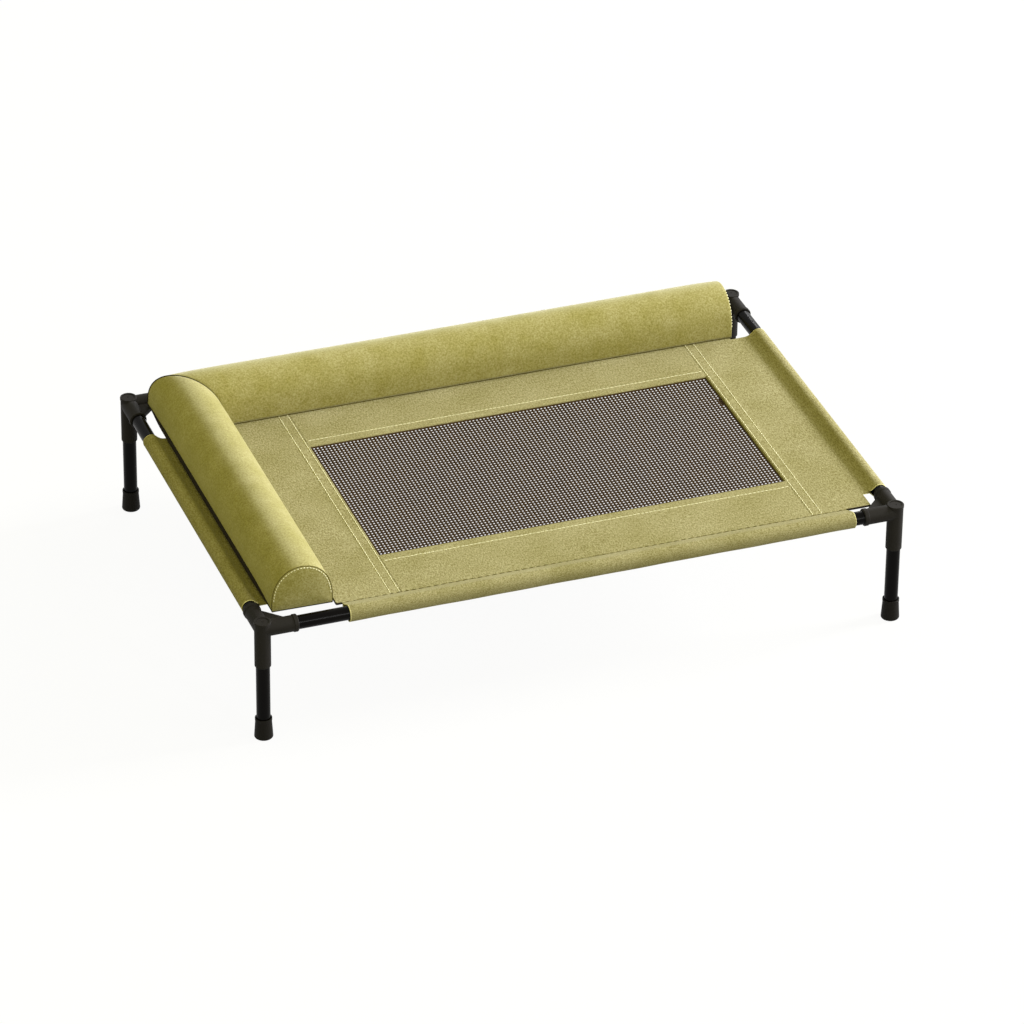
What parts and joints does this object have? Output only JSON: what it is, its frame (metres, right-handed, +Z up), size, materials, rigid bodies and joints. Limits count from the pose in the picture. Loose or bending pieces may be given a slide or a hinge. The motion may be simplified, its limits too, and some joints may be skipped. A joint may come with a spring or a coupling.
{
  "type": "raised dog cot",
  "caption": "Low tube-frame dog cot with a stretched cloth cover, a mesh window in the bed and a lift-off L-shaped bolster with a mitred corner.",
  "frame": {"origin": "on the floor below the middle of the frame", "axes": "+X to the right along the length, +Y from the front to the back, +Z up"},
  "size_m": [0.66, 0.45, 0.17],
  "materials": {
    "tube": "gloss black powder coat",
    "connector": "moulded, satin charcoal",
    "foot": "moulded, matt charcoal",
    "bed_cloth": "olive brushed microfibre cloth",
    "bolster_cloth": "olive short-pile suede cloth",
    "mesh": "coated dark brown net",
    "filling": "fibre filling",
    "strip": "woven hook and loop tape"
  },
  "bodies": {
    "cot": {"rail_front": "tube", "rail_back": "tube", "rail_left": "tube", "rail_right": "tube", "connector_front_left": "connector", "connector_front_right": "connector", "connector_back_left": "connector", "connector_back_right": "connector", "leg_front_left": "tube", "leg_front_right": "tube", "leg_back_left": "tube", "leg_back_right": "tube", "foot_front_left": "foot", "foot_front_right": "foot", "foot_back_left": "foot", "foot_back_right": "foot", "cover_left_panel": "bed_cloth", "cover_right_panel": "bed_cloth", "cover_front_strip": "bed_cloth", "cover_back_strip": "bed_cloth", "cover_front_sleeve": "bed_cloth", "cover_back_sleeve": "bed_cloth", "cover_mesh": "mesh", "loop_strips": "strip"},
    "bolster": {"bolster_left_cover": "bolster_cloth", "bolster_back_cover": "bolster_cloth", "bolster_front_end": "bolster_cloth", "bolster_right_end": "bolster_cloth", "bolster_left_base": "bolster_cloth", "bolster_back_base": "bolster_cloth", "bolster_left_fill": "filling", "bolster_back_fill": "filling", "hook_strips": "strip"}
  },
  "joints": [
    {"name": "bolster_lift", "type": "slide", "parent": "cot", "child": "bolster", "axis": [0, 0, 1], "range_m": [0, 0.15]}
  ]
}
